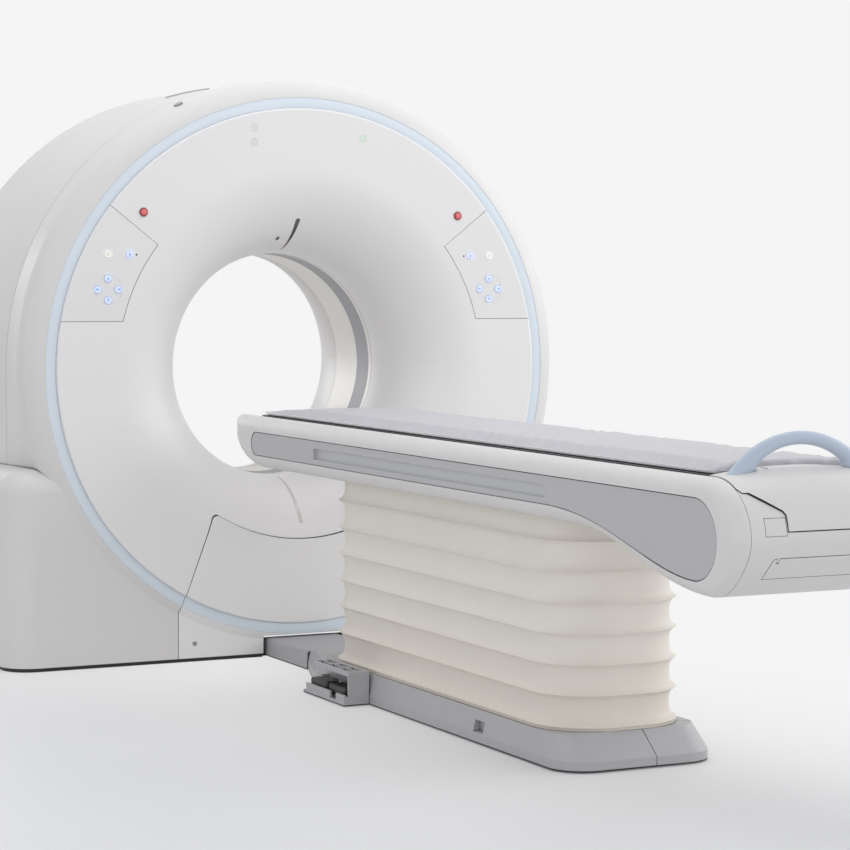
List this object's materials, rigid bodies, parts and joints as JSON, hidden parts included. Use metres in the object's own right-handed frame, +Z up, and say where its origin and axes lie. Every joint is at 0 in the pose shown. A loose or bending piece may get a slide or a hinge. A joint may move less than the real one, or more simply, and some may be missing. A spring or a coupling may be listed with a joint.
{
  "type": "medical ct scanner",
  "caption": "Ring-shaped scanner gantry on a floor stand, with a sliding patient couch on a bellows-covered lift, control panels and foot pedals.",
  "frame": {"origin": "point of the floor under the isocentre, centre of the gantry's anchor pattern", "axes": "+Z up, +Y along the bore axis from the couch into the gantry, +X across to the right"},
  "size_m": [1.934, 3.89, 1.834],
  "materials": {
    "frame_steel": "satin",
    "bearing_steel": "satin",
    "stator_steel": "satin",
    "brush_plastic": "matte",
    "cover_white": "satin",
    "trim_blue": "satin",
    "window_grey": "satin",
    "liner_beige": "satin",
    "panel_white": "satin",
    "lamp_lens": "gloss",
    "laser_glass": "gloss",
    "screw_steel": "satin",
    "stop_red": "gloss",
    "rotor_steel": "satin",
    "tube_steel": "satin",
    "detector_aluminium": "satin",
    "slip_plastic": "matte",
    "column_aluminium": "satin",
    "plinth_grey": "satin",
    "pedal_black": "matte",
    "bellows_cream": "matte",
    "inlay_grey": "satin",
    "cradle_dark": "satin",
    "mattress_grey": "matte",
    "handle_blue": "satin",
    "key_white": "gloss",
    "key_blue": "gloss"
  },
  "bodies": {
    "scanner": {"gantry_frame": "frame_steel", "bearing_outer_ring": "bearing_steel", "drive_stator": "stator_steel", "brush_block": "brush_plastic", "front_cover": "cover_white", "front_lower_cover": "cover_white", "front_trim_ring": "trim_blue", "front_drum_cover": "cover_white", "rear_drum_cover": "cover_white", "rear_cover": "cover_white", "left_stand_cover": "cover_white", "right_stand_cover": "cover_white", "scan_window": "window_grey", "tunnel_liner": "liner_beige", "left_control_panel": "panel_white", "right_control_panel": "panel_white", "indicator_lamps": "lamp_lens", "laser_windows": "laser_glass", "cover_screws": "screw_steel", "couch_base": "frame_steel", "plinth_covers": "plinth_grey", "duct_cover": "plinth_grey", "pedal_housing": "plinth_grey", "bellows": "bellows_cream"},
    "rotor": {"rotor_drum": "rotor_steel", "xray_tube": "tube_steel", "collimator": "rotor_steel", "detector_arc": "detector_aluminium", "hv_generator": "tube_steel", "tube_cooler": "detector_aluminium", "slip_ring": "slip_plastic"},
    "lift_middle": {"lift_column_middle": "column_aluminium"},
    "couch": {"couch_frame": "frame_steel", "lift_column_inner": "column_aluminium", "left_side_cover": "cover_white", "right_side_cover": "cover_white", "side_inlays": "inlay_grey", "frame_under_cover": "cover_white", "foot_end_cap": "cover_white"},
    "flap": {"release_flap": "cover_white"},
    "couchtop": {"couchtop_cradle": "cradle_dark", "mattress": "mattress_grey", "couchtop_end_cover": "cover_white", "couch_handle": "handle_blue"},
    "pedal_down": {"foot_pedal_down": "pedal_black"},
    "pedal_up": {"foot_pedal_up": "pedal_black"},
    "left_stop": {"left_emergency_stop": "stop_red"},
    "right_stop": {"right_emergency_stop": "stop_red"},
    "left_up": {"left_key_up": "key_blue"},
    "left_down": {"left_key_down": "key_blue"},
    "left_outer": {"left_key_outer": "key_blue"},
    "left_inner": {"left_key_inner": "key_blue"},
    "left_light": {"left_key_light": "key_white"},
    "left_home": {"left_key_home": "key_blue"},
    "right_up": {"right_key_up": "key_blue"},
    "right_down": {"right_key_down": "key_blue"},
    "right_outer": {"right_key_outer": "key_blue"},
    "right_inner": {"right_key_inner": "key_blue"},
    "right_light": {"right_key_light": "key_white"},
    "right_home": {"right_key_home": "key_blue"}
  },
  "joints": [
    {"name": "rotor_spin", "type": "hinge", "parent": "scanner", "child": "rotor", "pos_m": [0, 0.17, 0.92], "axis": [0, 1, 0], "continuous": true},
    {"name": "couch_lift", "type": "slide", "parent": "scanner", "child": "couch", "axis": [0, 0, 1], "range_m": [-0.33, 0.1], "deforming": ["bellows"]},
    {"name": "lift_column_mid", "type": "slide", "parent": "scanner", "child": "lift_middle", "axis": [0, 0, 1], "range_m": [-0.165, 0.05]},
    {"name": "couchtop_slide", "type": "slide", "parent": "couch", "child": "couchtop", "axis": [0, 1, 0], "range_m": [0, 1.5]},
    {"name": "release_flap_hinge", "type": "hinge", "parent": "couch", "child": "flap", "pos_m": [0, -3.2762, 0.601], "axis": [-1, 0, 0], "range_deg": [0, 15], "stiffness_Nm_per_rad": 0.5, "springref_deg": -8.59},
    {"name": "pedal_down_hinge", "type": "hinge", "parent": "scanner", "child": "pedal_down", "pos_m": [-0.242, -1.26, 0.044], "axis": [0, -1, 0], "range_deg": [0, 7], "stiffness_Nm_per_rad": 3, "springref_deg": -5.73},
    {"name": "pedal_up_hinge", "type": "hinge", "parent": "scanner", "child": "pedal_up", "pos_m": [-0.242, -1.13, 0.044], "axis": [0, -1, 0], "range_deg": [0, 7], "stiffness_Nm_per_rad": 3, "springref_deg": -5.73},
    {"name": "left_stop_press", "type": "slide", "parent": "scanner", "child": "left_stop", "axis": [0, 1, 0], "range_m": [0, 0.005], "stiffness_N_per_m": 3000, "springref_m": -0.003},
    {"name": "left_up_press", "type": "slide", "parent": "scanner", "child": "left_up", "axis": [0, 1, 0], "range_m": [0, 0.0015], "stiffness_N_per_m": 1000, "springref_m": -0.001},
    {"name": "left_down_press", "type": "slide", "parent": "scanner", "child": "left_down", "axis": [0, 1, 0], "range_m": [0, 0.0015], "stiffness_N_per_m": 1000, "springref_m": -0.001},
    {"name": "left_outer_press", "type": "slide", "parent": "scanner", "child": "left_outer", "axis": [0, 1, 0], "range_m": [0, 0.0015], "stiffness_N_per_m": 1000, "springref_m": -0.001},
    {"name": "left_inner_press", "type": "slide", "parent": "scanner", "child": "left_inner", "axis": [0, 1, 0], "range_m": [0, 0.0015], "stiffness_N_per_m": 1000, "springref_m": -0.001},
    {"name": "left_light_press", "type": "slide", "parent": "scanner", "child": "left_light", "axis": [0, 1, 0], "range_m": [0, 0.0015], "stiffness_N_per_m": 1000, "springref_m": -0.001},
    {"name": "left_home_press", "type": "slide", "parent": "scanner", "child": "left_home", "axis": [0, 1, 0], "range_m": [0, 0.0015], "stiffness_N_per_m": 1000, "springref_m": -0.001},
    {"name": "right_stop_press", "type": "slide", "parent": "scanner", "child": "right_stop", "axis": [0, 1, 0], "range_m": [0, 0.005], "stiffness_N_per_m": 3000, "springref_m": -0.003},
    {"name": "right_up_press", "type": "slide", "parent": "scanner", "child": "right_up", "axis": [0, 1, 0], "range_m": [0, 0.0015], "stiffness_N_per_m": 1000, "springref_m": -0.001},
    {"name": "right_down_press", "type": "slide", "parent": "scanner", "child": "right_down", "axis": [0, 1, 0], "range_m": [0, 0.0015], "stiffness_N_per_m": 1000, "springref_m": -0.001},
    {"name": "right_outer_press", "type": "slide", "parent": "scanner", "child": "right_outer", "axis": [0, 1, 0], "range_m": [0, 0.0015], "stiffness_N_per_m": 1000, "springref_m": -0.001},
    {"name": "right_inner_press", "type": "slide", "parent": "scanner", "child": "right_inner", "axis": [0, 1, 0], "range_m": [0, 0.0015], "stiffness_N_per_m": 1000, "springref_m": -0.001},
    {"name": "right_light_press", "type": "slide", "parent": "scanner", "child": "right_light", "axis": [0, 1, 0], "range_m": [0, 0.0015], "stiffness_N_per_m": 1000, "springref_m": -0.001},
    {"name": "right_home_press", "type": "slide", "parent": "scanner", "child": "right_home", "axis": [0, 1, 0], "range_m": [0, 0.0015], "stiffness_N_per_m": 1000, "springref_m": -0.001}
  ],
  "couplings": [
    {"joint": "lift_column_mid", "follows": "couch_lift", "ratio": 0.5}
  ]
}
